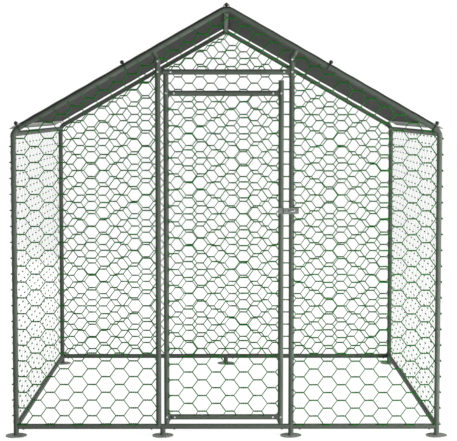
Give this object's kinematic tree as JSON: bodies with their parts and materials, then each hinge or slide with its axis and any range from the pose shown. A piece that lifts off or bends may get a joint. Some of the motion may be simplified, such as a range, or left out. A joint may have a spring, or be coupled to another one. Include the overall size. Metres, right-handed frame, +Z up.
{
  "type": "chicken run",
  "caption": "Walk-in poultry run: bent tube frame with pitched roof, hexagonal wire netting, outward door with hasp and staple, and a fabric roof cover held by ball loops.",
  "frame": {"origin": "middle of the footprint, on the ground", "axes": "+X to the right seen from the front, -Y out of the door, +Z up"},
  "size_m": [2.075, 2.075, 2.0208],
  "materials": {
    "painted_tube": "satin grey",
    "zinc_steel": "zinc plated",
    "coated_wire": "green coated wire",
    "cover_fabric": "woven, coated",
    "elastic": "braided elastic",
    "black_plastic": "moulded"
  },
  "bodies": {
    "frame": {"post_front_left": "painted_tube", "post_front_right": "painted_tube", "post_rear_left": "painted_tube", "post_rear_right": "painted_tube", "ridge_bow_front": "painted_tube", "ridge_bow_rear": "painted_tube", "ridge_beam": "painted_tube", "eave_rail_left": "painted_tube", "eave_rail_right": "painted_tube", "bottom_rail_front_left": "painted_tube", "door_sill": "painted_tube", "bottom_rail_front_right": "painted_tube", "bottom_rail_left": "painted_tube", "bottom_rail_right": "painted_tube", "bottom_rail_rear_left": "painted_tube", "bottom_rail_rear_right": "painted_tube", "foot_front_left": "painted_tube", "foot_front_right": "painted_tube", "foot_rear_left": "painted_tube", "foot_rear_right": "painted_tube", "foot_hinge_side": "painted_tube", "foot_latch_side": "painted_tube", "foot_rear_middle": "painted_tube", "door_post_hinge": "painted_tube", "door_post_latch": "painted_tube", "header": "painted_tube", "header_tees": "painted_tube", "header_screws": "zinc_steel", "post_top_screws": "zinc_steel", "frame_screws": "zinc_steel", "pivot_pin_lower": "zinc_steel", "pivot_bolt_upper": "zinc_steel", "staple": "zinc_steel", "roof_cover": "cover_fabric", "elastic_loops": "elastic", "elastic_balls": "black_plastic", "net_front_left": "coated_wire", "net_front_right": "coated_wire", "net_front_gable": "coated_wire", "net_left": "coated_wire", "net_right": "coated_wire", "net_rear": "coated_wire"},
    "door": {"door_stile_hinge": "painted_tube", "door_stile_latch": "painted_tube", "door_rail_top": "painted_tube", "door_rail_bottom": "painted_tube", "door_tees": "painted_tube", "door_screws": "zinc_steel", "hasp_leaf": "zinc_steel", "hasp_pin": "zinc_steel", "hinge_bushes": "black_plastic", "door_net": "coated_wire"},
    "hasp": {"hasp_flap": "zinc_steel"}
  },
  "joints": [
    {"name": "door_hinge", "type": "hinge", "parent": "frame", "child": "door", "pos_m": [-0.28, -0.9875, 0.8], "axis": [0, 0, -1], "range_deg": [0, 120]},
    {"name": "hasp_hinge", "type": "hinge", "parent": "door", "child": "hasp", "pos_m": [0.2685, -1.0035, 1.06], "axis": [0, 0, -1], "range_deg": [0, 165]}
  ]
}
